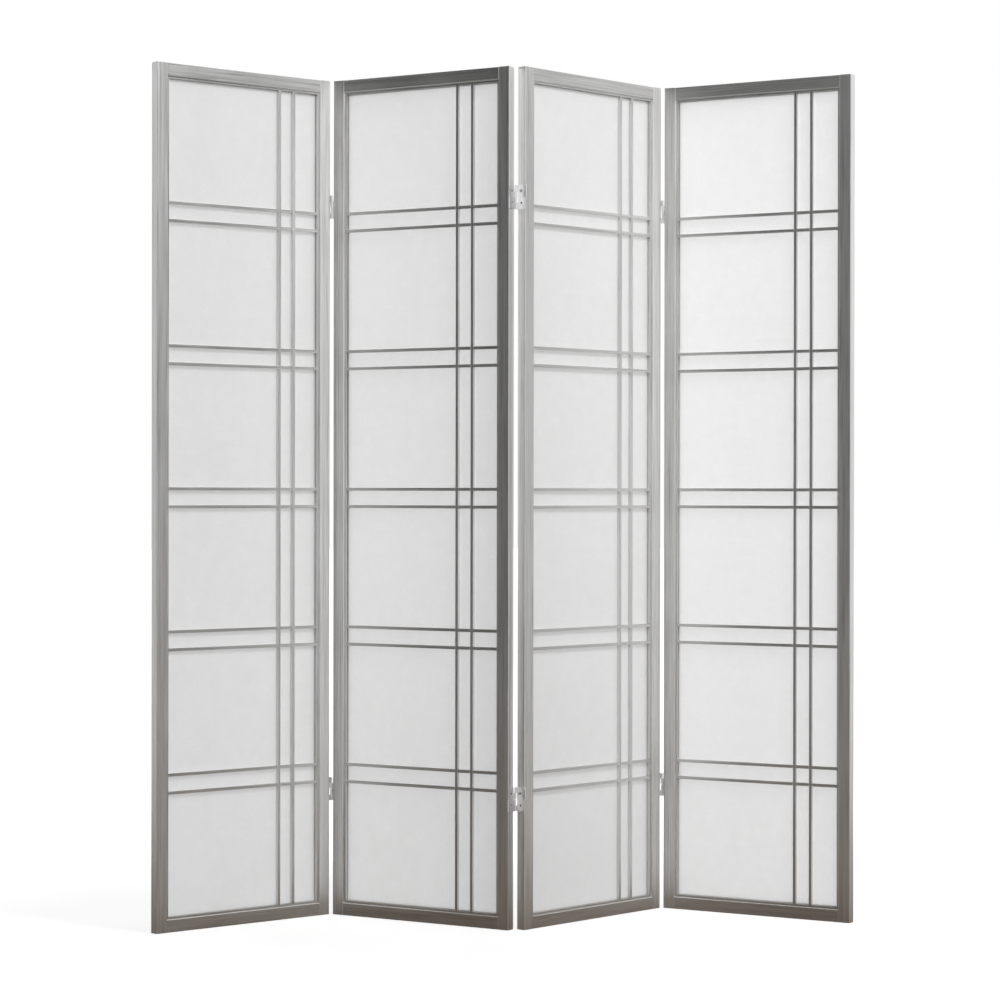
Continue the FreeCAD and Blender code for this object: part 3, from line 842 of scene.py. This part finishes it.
def make_floor():
    bpy.ops.mesh.primitive_plane_add(size=FLOOR_SIZE, location=(0, 0, -FLOOR_DROP))
    floor = bpy.context.object
    floor.name = "studio_floor"
    n = new_material("studio_floor")
    speckle = n.noise(n.stretched(n.local(), (3.0, 3.0, 3.0)), 3.0)
    colour = n.ramp(speckle, FLOOR_TONES)
    shade = n.principled(Base_Color=colour, Roughness=0.9)
    away = n.add("ShaderNodeVectorMath", operation="LENGTH")
    n.feed(away.inputs[0], n.local())
    # whiter away from the screen, so that its shadow stays near its feet
    white = n.span(away.outputs["Value"], FEET_DISTANCE, FAR_DISTANCE, FEET_WHITE, FAR_WHITE)
    glow = n.add("ShaderNodeEmission")
    n.feed(glow.inputs["Strength"], n.math("MULTIPLY", n.background_rays(FLOOR_IN_GLOSS), white))
    both = n.add("ShaderNodeAddShader")
    n.feed(both.inputs[0], shade)
    n.feed(both.inputs[1], glow.outputs["Emission"])
    floor.data.materials.append(n.finish(both.outputs["Shader"]))


def make_world():
    world = bpy.data.worlds.new("studio")
    bpy.context.scene.world = world
    n = Nodes(world, "ShaderNodeOutputWorld")
    around = n.add("ShaderNodeBackground")
    around.inputs["Color"].default_value = (AMBIENT, AMBIENT, AMBIENT, 1)
    white = n.add("ShaderNodeBackground")
    white.inputs["Color"].default_value = (1, 1, 1, 1)
    either = n.add("ShaderNodeMixShader")
    n.feed(either.inputs["Fac"], n.background_rays(1.0))
    n.feed(either.inputs[1], around.outputs["Background"])
    n.feed(either.inputs[2], white.outputs["Background"])
    n.finish(either.outputs["Shader"])


def make_card(name, corners, colour, shades):
    """Felt card that the camera doesn't see: gloss mirrors it, and it also keeps light off if it shades."""
    mesh = bpy.data.meshes.new(name)
    mesh.from_pydata(corners, [], [(0, 1, 2, 3)])
    n = new_material(name)
    fluff = n.noise(n.stretched(n.local(), FELT), 3.0)
    dark = [FELT_DARK * c for c in colour]
    bright = [FELT_BRIGHT * c for c in colour]
    felt = n.ramp(fluff, ((0.3, dark), (0.7, bright)))
    mesh.materials.append(n.finish(n.principled(Base_Color=felt, Roughness=0.95)))
    card = bpy.data.objects.new(name, mesh)
    card.visible_camera = False
    card.visible_diffuse = shades
    card.visible_shadow = shades
    card.visible_transmission = shades
    bpy.context.collection.objects.link(card)


def make_side_card(name, x, near, far, top, tone):
    """Grey card that stands on the floor beside the screen, from y = near to y = far."""
    corners = [(x, near, 0), (x, far, 0), (x, far, top), (x, near, top)]
    make_card(name, corners, (tone, tone, tone), shades=True)


def make_floor_card(name, left, right, near, far, colour):
    """Card on the floor for gloss alone."""
    corners = [(left, near, 0), (right, near, 0), (right, far, 0), (left, far, 0)]
    make_card(name, corners, colour, shades=False)


def make_lamp(name, place, target, size, power, mirrored=True):
    """Square lamp aimed at a target; gloss shows it if it is mirrored."""
    lamp = bpy.data.lights.new(name, "AREA")
    lamp.shape = "RECTANGLE"
    lamp.size = size
    lamp.size_y = size
    lamp.energy = power
    holder = bpy.data.objects.new(name, lamp)
    holder.visible_glossy = mirrored
    holder.location = place
    aim = Vector(target) - Vector(place)
    holder.rotation_euler = aim.to_track_quat("-Z", "Y").to_euler()
    bpy.context.collection.objects.link(holder)


make_floor()
make_world()
make_side_card("left_card", x=-2.6, near=-8.0, far=0.3, top=6.0, tone=0.03)
make_side_card("right_card_near", x=2.9, near=-3.6, far=-1.0, top=4.2, tone=0.03)
make_side_card("right_card_far", x=2.9, near=-1.0, far=0.15, top=4.2, tone=0.82)
make_floor_card("floor_card", left=-2.5, right=2.8, near=-1.6, far=0.9, colour=(0.155, 0.108, 0.066))
make_lamp("key_right", place=(2.6, -2.6, 4.5), target=(0, 0, 1.0), size=1.8, power=165)
make_lamp("back_right", place=(1.7, 1.8, 1.9), target=(0.4, 0, 0.9), size=1.8, power=25, mirrored=False)
make_lamp("fill_left", place=(-1.2, -4.2, 3.0), target=(0, 0, 1.2), size=2.0, power=8)


# Camera at the photograph's place

PHOTO_PIXELS = 1000
FOCAL_PIXELS = 2861.3
SENSOR_WIDTH = 36.0
VIEW_DISTANCE = 200
# the camera's turns in degrees, and its place in metres
YAW = -6.432
PITCH = -0.144
ROLL = 0.082
STAND = Vector((-0.6840, -6.0353, 0.9063))


def turned_pair(first, second, angle):
    """Two directions turned by an angle in their own plane, the first towards the second."""
    cos, sin = math.cos(angle), math.sin(angle)
    return first * cos + second * sin, second * cos - first * sin


def make_camera():
    data = bpy.data.cameras.new("camera")
    data.sensor_width = SENSOR_WIDTH
    data.sensor_fit = "HORIZONTAL"
    data.lens = FOCAL_PIXELS / PHOTO_PIXELS * SENSOR_WIDTH
    data.clip_end = VIEW_DISTANCE
    yaw, pitch, roll = (math.radians(a) for a in (YAW, PITCH, ROLL))
    right = Vector((math.cos(yaw), math.sin(yaw), 0))
    ahead = Vector((-math.sin(yaw), math.cos(yaw), 0))
    ahead, up = turned_pair(ahead, Vector((0, 0, 1)), pitch)
    right, up = turned_pair(right, up, roll)
    camera = bpy.data.objects.new("camera", data)
    turn = Matrix((right, up, -ahead)).transposed().to_4x4()
    camera.matrix_world = Matrix.Translation(STAND) @ turn
    bpy.context.collection.objects.link(camera)
    bpy.context.scene.camera = camera


make_camera()
bpy.context.scene.view_settings.view_transform = "Standard"
